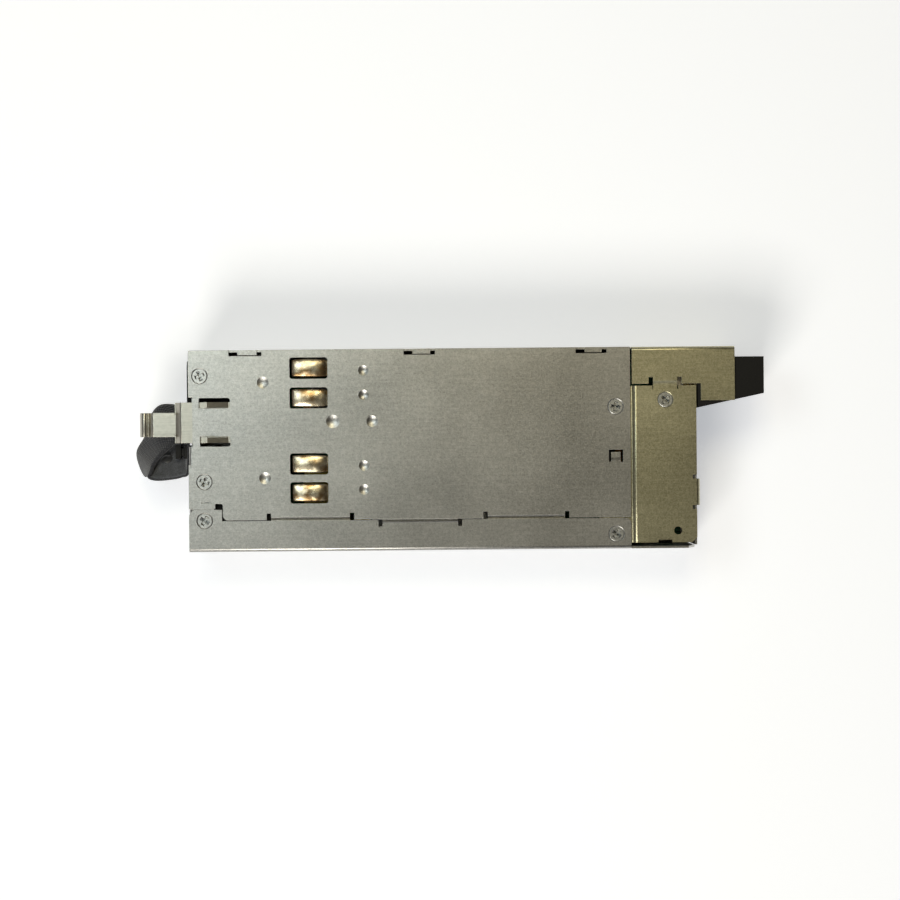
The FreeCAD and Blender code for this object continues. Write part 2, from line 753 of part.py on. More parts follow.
def ground_spring(row):
    """Two crowned fingers on one root strip, spot welded under the cover."""
    x_window = x_rear + window_x
    top = case_height + spring_rise
    start = x_window + window_length / 2 - spring_clear
    end = x_window - window_length / 2 + 2 * spring_clear
    half = crown_flat / 2
    path = [(x_rear + spring_root, under_cover), (start, under_cover), (x_window + half, top)]
    path += [(x_window - half, top), (end, under_cover - spring_tip)]
    low, high = window_rows[row]
    reach = spring_width / 2
    fingers = []
    for y in (low, high):
        insides = [0, 0, crown_bend, crown_bend, 0]
        fingers.append(folded(path, spring_sheet, 1, "xz", y - reach, y + reach, insides))
    root = slab(start + 3, x_rear + spring_root, low, high, under_cover - spring_sheet, under_cover)
    return root.fuse(fingers).removeSplitter()


# ---- cord strap ----

def strap_face(grow):
    """Outline of the strap's upper edge, drawn in straight runs."""
    start = x_rear - strap_gap
    points = [(start - u, strap_near + v) for u, v in strap_loop]
    wire = outline(points, strap_corners, "xy", strap_top)
    if grow:
        wire = wire.makeOffset2D(grow)
    return Part.Face(Part.makePolygon(wire.discretize(strap_runs + 1)))


def anchor_block(width, height, x0, x1):
    """Block centred on the strap's anchor."""
    half = width / 2
    rise = height / 2
    return upright(anchor_y - half, anchor_y + half, anchor_z - rise, anchor_z + rise, x0, x1)


def cord_strap():
    """Closed loop of webbing that leans over the inlet, pinned by the anchor."""
    ring = strap_face(0).cut(strap_face(-strap_thickness))
    band = ring.Faces[0].extrude(V(0, strap_lean, -strap_fall))
    return band.cut(anchor_block(anchor_stem, anchor_stem, x_rear - 2 * strap_gap, x_rear))


def strap_anchor():
    """Moulded anchor: spacer on the rear panel, stem through the strap, head."""
    outer = x_rear - strap_gap
    face = outer - strap_thickness
    inner = x_rear + sheet
    spacer = anchor_block(anchor_width, anchor_height, outer, x_rear)
    head = anchor_block(anchor_width, anchor_height, face - anchor_head, face)
    stem = anchor_block(anchor_stem, anchor_stem, face, inner)
    barb = anchor_block(anchor_barb, anchor_barb, inner, inner + anchor_barb_length)
    return stem.fuse([spacer, head, barb]).removeSplitter()


# ---- inlet and status light ----

def inlet_block(width, height, x0, x1, radius=0):
    """Block centred on the inlet."""
    half = width / 2
    rise = height / 2
    return upright(inlet_y - half, inlet_y + half, inlet_z - rise, inlet_z + rise, x0, x1, radius)


def inlet_housing():
    """Moulded appliance inlet with its six-sided socket."""
    bezel = inlet_block(bezel_width, bezel_height, x_rear - bezel_proud, x_rear, bezel_corner)
    body = inlet_block(inlet_width, inlet_height, x_rear, x_rear + inlet_depth)
    half = socket_width / 2
    rise = socket_height / 2
    cut = socket_chamfer
    points = [(-half, -rise), (half, -rise), (half, rise - cut), (half - cut, rise)]
    points += [(cut - half, rise), (-half, rise - cut)]
    points = [(inlet_y + u, inlet_z + v) for u, v in points]
    start = x_rear - bezel_proud
    socket = prism(points, 0, "yz", start - 1, start + socket_depth)
    return bezel.fuse(body).cut([socket] + inlet_pin_list()).removeSplitter()


def inlet_pin_list():
    """Three blades: the middle one is offset from the other two."""
    pins = []
    floor = x_rear - bezel_proud + socket_depth
    end = x_rear + inlet_depth + pin_tail
    for y, z in ((-pin_spread, -pin_offset), (0, pin_offset), (pin_spread, -pin_offset)):
        y0 = inlet_y + y - pin_thickness / 2
        z0 = inlet_z + z - pin_width / 2
        pins.append(upright(y0, y0 + pin_thickness, z0, z0 + pin_width, floor - pin_reach, end))
    return pins


def light_block(width, x0, x1):
    half = width / 2
    return upright(light_y - half, light_y + half, light_z - half, light_z + half, x0, x1)


def status_light_pipe():
    """Clear pipe that carries the status light through the rear panel."""
    lip = light_block(light_size + 2 * light_lip, x_rear - light_lip, x_rear)
    return lip.fuse(light_block(light_size, x_rear, x_rear + light_length)).removeSplitter()


# ---- fan ----

fan_end = fan_x + fan_length
mount_face = fan_end - mount_thickness
hub_face = fan_x + hub_front
hub_end = hub_face + hub_length
tube_start = hub_face + hub_wall + tube_gap


def fan_square(x0, x1):
    half = fan_size / 2
    return upright(fan_y - half, fan_y + half, fan_z - half, fan_z + half, x0, x1)


def fan_gasket():
    """Soft square between the rear panel and the fan, with an eight-sided opening."""
    radius = (fan_bore + gasket_clearance) / math.cos(math.radians(22.5))
    angles = [math.radians(22.5 + 45 * k) for k in range(8)]
    points = [(fan_y + radius * math.cos(a), fan_z + radius * math.sin(a)) for a in angles]
    opening = prism(points, 0, "yz", x_rear, fan_x + 1)
    notch = anchor_barb / 2 + anchor_fit
    near_anchor = upright(anchor_y - notch, y_far, anchor_z - notch, anchor_z + notch, x_rear, fan_x + 1)
    return fan_square(x_rear + sheet, fan_x).cut([opening, near_anchor])


def fan_frame():
    """Moulded square frame with its bore, and the arms with the motor's tube."""
    body = fan_square(fan_x, fan_end).cut(rod(fan_bore, fan_x - 1, fan_end + 1, fan_y, fan_z))
    reach = hub_radius - 1
    mount = upright(fan_y - reach, fan_y + reach, fan_z - reach, fan_z + reach, mount_face, fan_end)
    tube = rod(tube_radius, tube_start, fan_end, fan_y, fan_z)
    half = spoke_width / 2
    out = fan_y + fan_bore + 1
    arms = []
    for i in range(spoke_count):
        arm = upright(fan_y + hub_radius - 2, out, fan_z - half, fan_z + half, mount_face, fan_end)
        arms.append(arm.rotate(V(0, fan_y, fan_z), ALONG_X, 45 + 360 * i / spoke_count))
    bore = rod(bearing_radius, tube_start - 1, fan_end - tube_floor, fan_y, fan_z)
    return body.fuse([mount, tube] + arms).cut(bore).removeSplitter()


def fan_blade():
    """Thin cambered blade, pitched and set out along Z from the fan's axis."""
    half = blade_chord / 2
    upper = blade_camber + blade_thickness / 2
    lower = blade_camber - blade_thickness / 2
    corners = [V(-half, 0, 0), V(0, upper, 0), V(half, 0, 0), V(0, lower, 0), V(-half, 0, 0)]
    section = Part.Face(Part.makePolygon(corners))
    section.rotate(V(0, 0, 0), ALONG_Z, blade_pitch)
    section.translate(V(0, 0, hub_radius - hub_wall / 2))
    return section.extrude(V(0, 0, fan_bore - hub_radius))


def fan_rotor():
    """Hub cup with its blades."""
    cup = rod(hub_radius, hub_face, hub_end, fan_y, fan_z)
    cup = cup.cut(rod(hub_radius - hub_wall, hub_face + hub_wall, hub_end + 1, fan_y, fan_z))
    blades = []
    for i in range(blade_count):
        blade = fan_blade()
        blade.rotate(V(0, 0, 0), ALONG_X, 360 * i / blade_count)
        blade.translate(V(hub_face + hub_length / 2, fan_y, fan_z))
        blades.append(blade)
    sweep = rod(fan_bore - blade_tip_gap, fan_x, fan_end, fan_y, fan_z)
    rotor = cup.fuse([blade.common(sweep) for blade in blades])
    return rotor.cut(rod(shaft_radius, hub_face - 1, hub_end, fan_y, fan_z)).removeSplitter()


def fan_shaft():
    return rod(shaft_radius, hub_face, fan_end - shaft_end_gap, fan_y, fan_z)


def fan_bearing():
    """Sleeve bearing pressed into the tube."""
    end = fan_end - tube_floor
    sleeve = rod(bearing_radius, end - bearing_length, end, fan_y, fan_z)
    return sleeve.cut(rod(shaft_radius + shaft_fit, fan_x, end + 1, fan_y, fan_z))


def fan_stator():
    """Core of four poles, pushed over the bearing tube."""
    reach = hub_radius - hub_wall - stator_gap
    end = hub_end - 1
    start = end - stator_length
    yoke = tube_radius + stator_yoke
    core = upright(fan_y - yoke, fan_y + yoke, fan_z - yoke, fan_z + yoke, start, end)
    poles = []
    for i in range(4):
        half = stator_pole / 2
        pole = upright(fan_y, fan_y + reach - 0.5, fan_z - half, fan_z + half, start, end)
        poles.append(pole.rotate(V(0, fan_y, fan_z), ALONG_X, 90 * i))
    return core.fuse(poles).cut(rod(tube_radius, start - 1, end + 1, fan_y, fan_z)).removeSplitter()


def fan_clip():
    """Angle welded to the floor behind the fan."""
    path = [(fan_end + fan_clip_foot, sheet), (fan_end, sheet), (fan_end, sheet + fan_clip_height)]
    low = fan_y - fan_clip_width / 2
    return folded(path, sheet, -1, "xz", low, low + fan_clip_width, None)


# ---- boards ----

standoff_places = []
for x in (x_board + standoff_inset, x_seam - standoff_inset):
    standoff_places += [(x, standoff_inset - y_board), (x, y_board - standoff_inset)]


def six_sided(radius, z0, z1, x, y):
    """Six-sided post, its radius taken over the corners."""
    angles = [math.radians(60 * k) for k in range(6)]
    points = [(x + radius * math.cos(a), y + radius * math.sin(a)) for a in angles]
    return prism(points, 0, "xy", z0, z1)


def main_board():
    """Board across the whole tray, with a tongue under the connector."""
    tongue_y = housing_near + board_tongue_inset
    points = [(x_board, -y_board), (x_board_end, -y_board), (x_board_end, tongue_y)]
    points += [(x_front + board_tongue, tongue_y), (x_front + board_tongue, housing_far)]
    points += [(x_board_end, housing_far), (x_board_end, y_board), (x_board, y_board)]
    plate = prism(points, 0, "xy", board_bottom, board_top)
    return plate.cut([six_sided(standoff_stem, 0, case_height, x, y) for x, y in standoff_places])


def insulating_film():
    """Film that keeps the solder side off the floor."""
    end = x_front - panel_flange - foot_gap
    foot_start = x_seam + bracket_gap - foot_gap
    foot_edge = y_far - bracket_flange - foot_gap
    start = fan_end + fan_clip_foot + foot_gap
    points = [(start, -y_board), (end, -y_board), (end, foot_edge)]
    points += [(foot_start, foot_edge), (foot_start, y_board), (start, y_board)]
    plate = prism(points, 0, "xy", sheet, sheet + film)
    return plate.cut([six_sided(standoff_radius, 0, case_height, x, y) for x, y in standoff_places])


def board_standoffs():
    """Press-in supports: foot on the floor, stem through the board, snap head."""
    posts = []
    for x, y in standoff_places:
        foot = six_sided(standoff_radius, sheet, board_bottom, x, y)
        stem = six_sided(standoff_stem, board_bottom, board_top, x, y)
        head = six_sided(standoff_head, board_top, board_top + standoff_head_height, x, y)
        posts.append(foot.fuse([stem, head]))
    return Part.makeCompound(posts)


# ---- electronics ----

x_filter = x_board + first_part
x_boost = x_filter + film_capacitor[0] + part_gap + coil_reach
x_cans = x_boost + boost_core[0] + coil_reach + part_gap
x_second_sink = x_board_end - second_sink_inset
x_transformer = x_second_sink - rectifier[0] - part_gap - coil_reach - transformer_core[0]
can_length = x_transformer - coil_reach - part_gap - x_cans
y_output = y_board - control_size[1] - part_gap - output_choke[1]
sink_y = part_gap - y_board
sink_face = sink_y + sink_reach + sink_base
sink_start = x_filter + film_capacitor[0] + part_gap
choke_y = y_board - fuse[1] - 2 * part_gap - input_choke_core[1]


def on_board(x, y, size, lift=0):
    """Block with a corner at x, y, standing on the main board."""
    length, width, height = size
    return slab(x, x + length, y, y + width, board_top + lift, board_top + lift + height)


def wound_core(x, y, size):
    """Core with two windows and the coil that fills them, apart."""
    length, width, height = size
    block = on_board(x, y, size)
    opening = height - 2 * core_yoke
    windows = []
    for start in (y + core_leg, y + width - core_leg - core_window):
        windows.append(on_board(x - 1, start, (length + 2, core_window, opening), core_yoke))
    core = block.cut(windows)
    full = (length + 2 * coil_reach, width - 2 * core_leg, opening)
    coil = on_board(x - coil_reach, y + core_leg, full, core_yoke)
    return core, coil.cut(core)


def input_choke():
    return wound_core(x_filter + coil_reach, choke_y, input_choke_core)


def input_fuse():
    return on_board(x_filter, y_board - part_gap - fuse[1], fuse)


def filter_capacitors():
    """Boxed film capacitors of the mains filter, in a row."""
    pitch = film_capacitor[1] + part_gap
    places = [sink_y + pitch * k for k in range(film_capacitors)]
    return Part.makeCompound([on_board(x_filter, y, film_capacitor) for y in places])


def boost_inductor():
    return wound_core(x_boost, y_board - part_gap - boost_core[1], boost_core)


def primary_heatsink():
    """Finned extrusion that cools the rectifier and the switching transistors."""
    points = [(sink_y, board_top)]
    for k in range(sink_fins):
        low = board_top + k * sink_pitch
        points += [(sink_y, low + sink_fin), (sink_y + sink_reach, low + sink_fin)]
        points += [(sink_y + sink_reach, low + sink_pitch), (sink_y, low + sink_pitch)]
    top = board_top + sink_fins * sink_pitch + sink_fin
    points += [(sink_y, top), (sink_face, top), (sink_face, board_top)]
    return prism(points, 0, "yz", sink_start, x_cans + can_length)


def bridge_rectifier():
    return on_board(sink_start, sink_face, bridge, lead_height)


def primary_transistors():
    """Power transistors against the heatsink's flat face."""
    thickness, width, height = transistor
    start = sink_start + bridge[0] + part_gap
    size = (width, thickness, height)
    pitch = width + part_gap
    places = [start + pitch * k for k in range(transistors)]
    return Part.makeCompound([on_board(x, sink_face, size, lead_height) for x in places])


def bulk_capacitors():
    """Two high voltage cans lying side by side."""
    first = y_board - part_gap - can_radius
    places = (first, first - 2 * can_radius - part_gap / 2)
    z = board_top + can_radius
    return Part.makeCompound([rod(can_radius, x_cans, x_cans + can_length, y, z) for y in places])


def main_transformer():
    return wound_core(x_transformer, y_output - part_gap - transformer_core[1], transformer_core)


def output_inductor():
    return on_board(x_transformer, y_output, output_choke)


def control_board():
    """Upright board that carries the controller."""
    return on_board(x_transformer, y_board - control_size[1], control_size)


def secondary_heatsink():
    """Angle plate that cools the output rectifiers."""
    thickness, width, height = second_sink
    foot = on_board(x_second_sink, sink_y, (second_sink_foot, width, thickness))
    return on_board(x_second_sink, sink_y, second_sink).fuse(foot).removeSplitter()


def output_rectifiers():
    pitch = rectifier[1] + part_gap
    start = x_second_sink - rectifier[0]
    places = [sink_y + pitch * k for k in range(rectifiers)]
    return Part.makeCompound([on_board(start, y, rectifier, lead_height) for y in places])


def output_capacitors():
    """Row of low voltage cans behind the end panel."""
    pitch = 2 * output_can_radius + part_gap
    x = x_board_end - output_can_radius - part_gap / 2
    cans = []
    for k in range(output_cans):
        y = sink_y + 2 * pitch + pitch * k
        cans.append(post(output_can_radius, board_top, board_top + output_can_height, x, y))
    return Part.makeCompound(cans)


# ---- connector ----

contact_y = (housing_near_tip + housing_far) / 2
housing_front = x_front + housing_reach
housing_back = x_front + housing_start
slot_middle = (board_top + housing_top) / 2


def slot_levels():
    """Heights of the power slots, in two groups round the signal block."""
    first = signal_height / 2 + slot_pitch - slot_height / 2
    steps = [first + slot_pitch * k for k in range(blade_slots // 2)]
    return [slot_middle - step for step in steps] + [slot_middle + step for step in steps]


def contact_list():
    """Power blades, from their tails inside the casing to just inside the slots."""
    blades = []
    for z in slot_levels():
        half = contact_width / 2
        low, high = z - contact_thickness / 2, z + contact_thickness / 2
        blades.append(slab(housing_back - contact_tail, housing_front - contact_recess,
                           contact_y - half, contact_y + half, low, high))
    return blades


def connector_housing():
    """Moulded plug with a slanted near side, slots for the blades and a signal cavity."""
    points = [(housing_back, housing_near), (housing_front, housing_near_tip)]
    points += [(housing_front, housing_far), (housing_back, housing_far)]
    block = prism(points, 0, "xy", board_top, housing_top)
    half = slot_width / 2
    across = (housing_front - slot_depth, housing_front + 1, contact_y - half, contact_y + half)
    rise = slot_height / 2
    cuts = [slab(*across, z - rise, z + rise) for z in slot_levels()]
    rise = signal_height / 2
    cuts.append(slab(*across, slot_middle - rise, slot_middle + rise))
    return block.cut(cuts + contact_list()).removeSplitter()


def signal_pins():
    """Signal pins in two rows in the middle cavity."""
    pins = []
    floor = housing_front - slot_depth
    for z in (slot_middle - signal_height / 4, slot_middle + signal_height / 4):
        for k in range(signal_columns):
            y = contact_y + (k - (signal_columns - 1) / 2) * signal_pitch
            half = signal_pin / 2
            pins.append(slab(floor, housing_front - contact_recess, y - half, y + half, z - half, z + half))
    return pins


def bus_bars():
    """Two copper bars from the board to the two groups of blade tails."""
    x1 = housing_back - contact_tail
    x0 = x1 - bar_thickness
    across = (contact_y - contact_width / 2, contact_y + contact_width / 2)
    levels = sorted(slot_levels())
    middle = blade_slots // 2
    lower_bar = slab(x0, x1, *across, board_top, levels[middle - 1] + contact_thickness)
    top = levels[-1] + contact_thickness
    upper_bar = slab(x0, x1, *across, levels[middle] - contact_thickness, top)
    x_leg = x0 - bar_step
    arm = slab(x_leg, x0, *across, top - bar_thickness, top)
    leg = slab(x_leg, x_leg + bar_thickness, *across, board_top, top)
    return Part.makeCompound([lower_bar, upper_bar.fuse([arm, leg]).removeSplitter()])


parts = {
    "base_tray": base_tray,
    "top_cover": top_cover,
    "rear_panel": rear_panel,
    "end_cover": end_cover,
    "connector_bracket": connector_bracket,
    "end_vent_panel": end_vent_panel,
    "casing_screws": casing_screws,
    "latch_root": latch_root,
    "release_latch": release_latch,
    "upper_ground_spring": lambda: ground_spring("upper"),
    "lower_ground_spring": lambda: ground_spring("lower"),
    "cord_strap": cord_strap,
    "strap_anchor": strap_anchor,
    "inlet_housing": inlet_housing,
    "inlet_pins": lambda: Part.makeCompound(inlet_pin_list()),
    "status_light_pipe": status_light_pipe,
    "fan_gasket": fan_gasket,
    "fan_frame": fan_frame,
    "fan_rotor": fan_rotor,
    "fan_shaft": fan_shaft,
    "fan_bearing": fan_bearing,
    "fan_stator": fan_stator,
    "fan_clip": fan_clip,
    "main_board": main_board,
    "insulating_film": insulating_film,
    "board_standoffs": board_standoffs,
    "input_fuse": input_fuse,
    "input_choke_core": lambda: input_choke()[0],
    "input_choke_coil": lambda: input_choke()[1],
    "filter_capacitors": filter_capacitors,
    "bridge_rectifier": bridge_rectifier,
    "primary_heatsink": primary_heatsink,
    "primary_transistors": primary_transistors,
    "boost_inductor_core": lambda: boost_inductor()[0],
    "boost_inductor_coil": lambda: boost_inductor()[1],
    "bulk_capacitors": bulk_capacitors,
    "main_transformer_core": lambda: main_transformer()[0],
    "main_transformer_coil": lambda: main_transformer()[1],
    "output_inductor": output_inductor,
    "secondary_heatsink": secondary_heatsink,
    "output_rectifiers": output_rectifiers,
    "output_capacitors": output_capacitors,
    "control_board": control_board,
    "bus_bars": bus_bars,
    "connector_housing": connector_housing,
    "power_contacts": lambda: Part.makeCompound(contact_list()),
    "signal_pins": lambda: Part.makeCompound(signal_pins()),
}

os.makedirs("parts", exist_ok=True)
for name, make in parts.items():
    make().exportStep("parts/" + name + ".step")
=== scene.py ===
import bpy
import bmesh
import math
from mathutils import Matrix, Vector


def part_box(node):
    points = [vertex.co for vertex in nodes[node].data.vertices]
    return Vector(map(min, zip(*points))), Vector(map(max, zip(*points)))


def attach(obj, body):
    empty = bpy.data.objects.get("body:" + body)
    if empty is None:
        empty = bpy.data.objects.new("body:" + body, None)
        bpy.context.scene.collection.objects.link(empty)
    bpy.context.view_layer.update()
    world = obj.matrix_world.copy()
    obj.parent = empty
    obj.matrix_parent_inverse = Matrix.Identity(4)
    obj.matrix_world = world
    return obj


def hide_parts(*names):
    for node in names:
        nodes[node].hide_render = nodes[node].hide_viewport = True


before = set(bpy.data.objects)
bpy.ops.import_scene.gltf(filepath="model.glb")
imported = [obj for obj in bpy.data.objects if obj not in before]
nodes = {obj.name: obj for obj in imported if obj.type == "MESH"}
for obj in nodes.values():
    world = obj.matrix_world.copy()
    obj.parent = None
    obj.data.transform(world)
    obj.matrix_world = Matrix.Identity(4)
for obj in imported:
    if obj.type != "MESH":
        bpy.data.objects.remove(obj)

for stray in ("Cube", "Light", "Camera"):
    if stray in bpy.data.objects:
        bpy.data.objects.remove(bpy.data.objects[stray])
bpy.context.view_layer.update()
millimetre = 0.001


# ---- Bench, camera and lamps ----
# The supply lies on its large face on a pale bench, seen from straight above.
# A broad lamp stands on the near side, two small cool ones over the latch end
# and a warm one beyond the far side, so the connector end is darker and warmer.
scene = bpy.context.scene
scene.view_settings.view_transform = "Standard"
cover_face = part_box("top_cover")[1].z
eye_height = 0.9                    # above the cover's face
view_width = 0.3276                 # seen from side to side at the cover's face
sensor = 36.0
eye = bpy.data.objects.new("camera", bpy.data.cameras.new("camera"))
eye.data.sensor_width = sensor
eye.data.lens = sensor * eye_height / view_width
eye.location = (0.0027, -0.0003, cover_face + eye_height)
eye.rotation_euler = (0, 0, math.radians(-0.5))
scene.collection.objects.link(eye)
scene.camera = eye


def lamp(name, place, aim, size, watts, colour):
    """Square area lamp that points from its place at the aim."""
    light = bpy.data.lights.new(name, "AREA")
    light.size = size
    light.energy = watts
    light.color = colour
    holder = bpy.data.objects.new(name, light)
    holder.location = place
    direction = Vector(aim) - Vector(place)
    holder.rotation_euler = direction.to_track_quat("-Z", "Y").to_euler()
    scene.collection.objects.link(holder)


lamp("key_lamp", (-0.33, -0.78, 1.08), (0.0, 0, 0.03), 0.55, 8.7, (1.0, 0.975, 0.91))
lamp("latch_end_lamp", (-0.22, 0.07, 0.62), (-0.05, 0, 0.03), 0.20, 0.24, (0.85, 0.97, 1.0))
lamp("far_corner_lamp", (-0.22, 0.18, 0.62), (-0.05, 0, 0.03), 0.20, 0.34, (0.86, 0.97, 1.0))
lamp("warm_lamp", (0.0, 0.47, 1.15), (0.0, 0, 0.03), 0.35, 2.4, (1.0, 0.90, 0.62))


class Signal:
    """Number that varies over a surface; sums and products add Math nodes."""

    def __init__(self, graph, socket):
        self.graph = graph
        self.socket = socket

    def joined(self, operation, first, second):
        made = self.graph.add("ShaderNodeMath", {"operation": operation}, {0: first, 1: second})
        return Signal(self.graph, made.outputs[0])

    def __add__(self, other):
        return self.joined("ADD", self, other)

    def __radd__(self, other):
        return self.joined("ADD", other, self)

    def __sub__(self, other):
        return self.joined("SUBTRACT", self, other)

    def __mul__(self, other):
        return self.joined("MULTIPLY", self, other)

    def __rmul__(self, other):
        return self.joined("MULTIPLY", other, self)

    def sine(self):
        return self.joined("SINE", self, 0.0)


class Graph:
    """Node tree that is built up from Python."""

    def __init__(self, tree):
        self.tree = tree

    def add(self, kind, settings=None, sockets=None):
        made = self.tree.nodes.new(kind)
        for name, value in (settings or {}).items():
            setattr(made, name, value)
        for name, value in (sockets or {}).items():
            if isinstance(value, Signal):
                value = value.socket
            if isinstance(value, bpy.types.NodeSocket):
                self.tree.links.new(value, made.inputs[name])
            else:
                made.inputs[name].default_value = value
        return made

    def signal(self, kind, settings=None, sockets=None, out=0):
        return Signal(self, self.add(kind, settings, sockets).outputs[out])


class Finish(Graph):
    """Material with one principled shader, patterned on Object coordinates."""

    def __init__(self, name, **uniform):
        self.material = bpy.data.materials.new(name)
        self.material.use_nodes = True
        super().__init__(self.material.node_tree)
        self.tree.nodes.clear()
        self.shader = self.add("ShaderNodeBsdfPrincipled", None, uniform)
        output = self.add("ShaderNodeOutputMaterial")
        self.tree.links.new(self.shader.outputs[0], output.inputs[0])
        self.place = self.add("ShaderNodeTexCoord").outputs["Object"]

    def stretched(self, scale):
        return self.add("ShaderNodeMapping", None, {"Vector": self.place, "Scale": scale}).outputs[0]

    def noise(self, scale, detail=2.0, place=None, roughness=0.5):
        sockets = {"Vector": place or self.place, "Scale": scale, "Detail": detail, "Roughness": roughness}
        return self.signal("ShaderNodeTexNoise", None, sockets)

    def between(self, share, dark, light):
        """Colour between two, by a share from 0 to 1."""
        sockets = {0: share, 6: (*dark, 1), 7: (*light, 1)}
        return self.signal("ShaderNodeMix", {"data_type": "RGBA"}, sockets, 2)

    def feed(self, name, value):
        self.tree.links.new(value.socket, self.shader.inputs[name])

    def relief(self, height, depth):
        """Bump of a real depth, in metres."""
        made = self.signal("ShaderNodeBump", None, {"Height": height, "Distance": depth})
        self.feed("Normal", made)


def pale_finish():
    """Bench paint that stays white to the eye and still keeps the soft shadow."""
    graph = Finish("pale_bench", Roughness=0.9)
    graph.shader.inputs["Base Color"].default_value = (0.94, 0.94, 0.95, 1)
    ray = graph.add("ShaderNodeLightPath").outputs
    straight = Signal(graph, ray["Is Camera Ray"])
    mirrored = Signal(graph, ray["Is Glossy Ray"]) + Signal(graph, ray["Is Transmission Ray"])
    strength = straight * 0.47 + mirrored * 0.45
    glow = graph.add("ShaderNodeEmission", None, {"Color": (0.915, 0.945, 1.0, 1), "Strength": strength})
    both = graph.add("ShaderNodeAddShader", None, {0: graph.shader.outputs[0], 1: glow.outputs[0]})
    output = graph.tree.nodes["Material Output"]
    graph.tree.links.new(both.outputs[0], output.inputs[0])
    return graph.material


def studio_shell():
    """Round bench top with a low curved wall at its rim."""
    mesh = bmesh.new()
    sides = 96
    rings = [(3.0, 0.0), (3.3, 0.05), (3.5, 0.2), (3.6, 0.5), (3.6, 1.6)]
    loops = []
    for radius, height in rings:
        loop = []
        for i in range(sides):
            angle = 2 * math.pi * i / sides
            loop.append(mesh.verts.new((radius * math.cos(angle), radius * math.sin(angle), height)))
        loops.append(loop)
    mesh.faces.new(loops[0])
    for low_loop, high_loop in zip(loops, loops[1:]):
        for i in range(sides):
            j = (i + 1) % sides
            face = mesh.faces.new((low_loop[i], low_loop[j], high_loop[j], high_loop[i]))
            face.smooth = True
    made = bpy.data.meshes.new("bench")
    mesh.to_mesh(made)
    mesh.free()
    return made


bench = bpy.data.objects.new("bench", studio_shell())
bench.data.materials.append(pale_finish())
scene.collection.objects.link(bench)
world = bpy.data.worlds.new("studio")
scene.world = world
world.use_nodes = True
world.node_tree.nodes["Background"].inputs[0].default_value = (1.0, 0.90, 0.72, 1)
world.node_tree.nodes["Background"].inputs[1].default_value = 0.03


# ---- Casing ----
# Tray, cover, panels and bracket are folded from zinc coated steel, 0.8 mm
# thick.  The coating has a fine grain and faint rolling lines, and the cut
# edges are bare and catch the light.
def zinc_coated_steel(name, dark, light):
    graph = Finish(name, Metallic=1.0)
    grain = graph.noise(2000.0, 3.0)
    flecks = graph.signal("ShaderNodeTexVoronoi", None, {"Vector": graph.place, "Scale": 900.0})
    rolling = graph.noise(1.0, 2.0, graph.stretched((70.0, 1500.0, 1500.0)))
    clouds = graph.noise(28.0, 3.0)
    share = 0.9 * grain + 0.3 * flecks + 0.3 * rolling + 0.4 * clouds - 0.45
    graph.feed("Base Color", graph.between(share, dark, light))
    graph.feed("Roughness", 0.22 + 0.14 * grain + 0.10 * clouds)
    graph.relief(grain + 0.5 * flecks, 0.000022)
    return graph.material


def finish_nodes(material, edge, *names):
    """New finish for CAD nodes, and a small bevel on their sharp edges."""
    for name in names:
        item = nodes[name]
        item.data.materials.clear()
        item.data.materials.append(material)
        if edge:
            weld = item.modifiers.new("joined", "WELD")
            weld.merge_threshold = 0.000002
            flat = item.modifiers.new("flat_faces", "DECIMATE")
            flat.decimate_type = "DISSOLVE"
            flat.angle_limit = math.radians(1.0)
            bevel = item.modifiers.new("edge", "BEVEL")
            bevel.width = edge
            bevel.segments = 2
            bevel.limit_method = "ANGLE"
            bevel.angle_limit = math.radians(35)


fine_edge = 0.10 * millimetre
thin_edge = 0.08 * millimetre
steel = zinc_coated_steel("zinc_coated_steel", (0.25, 0.246, 0.231), (0.63, 0.618, 0.58))
tinted_steel = zinc_coated_steel("tinted_zinc_steel", (0.25, 0.232, 0.140), (0.72, 0.675, 0.465))
rounded_edge = 0.15 * millimetre
finish_nodes(steel, fine_edge, "base_tray", "rear_panel", "end_vent_panel", "fan_clip")
finish_nodes(steel, rounded_edge, "top_cover")
finish_nodes(tinted_steel, thin_edge, "end_cover", "connector_bracket")


# ---- Casing screws ----
# Countersunk screws with a cross recess, zinc plated, their heads a hair below
# the covers.  Each one is turned to its own angle, as it was tightened.
def plated_screw_steel():
    graph = Finish("plated_screw_steel", Metallic=1.0)
    grain = graph.noise(1100.0, 2.0)
    graph.feed("Base Color", graph.between(grain, (0.34, 0.34, 0.32), (0.66, 0.66, 0.63)))
    graph.feed("Roughness", 0.28 + 0.16 * grain)
    graph.relief(grain, 0.00002)
    return graph.material


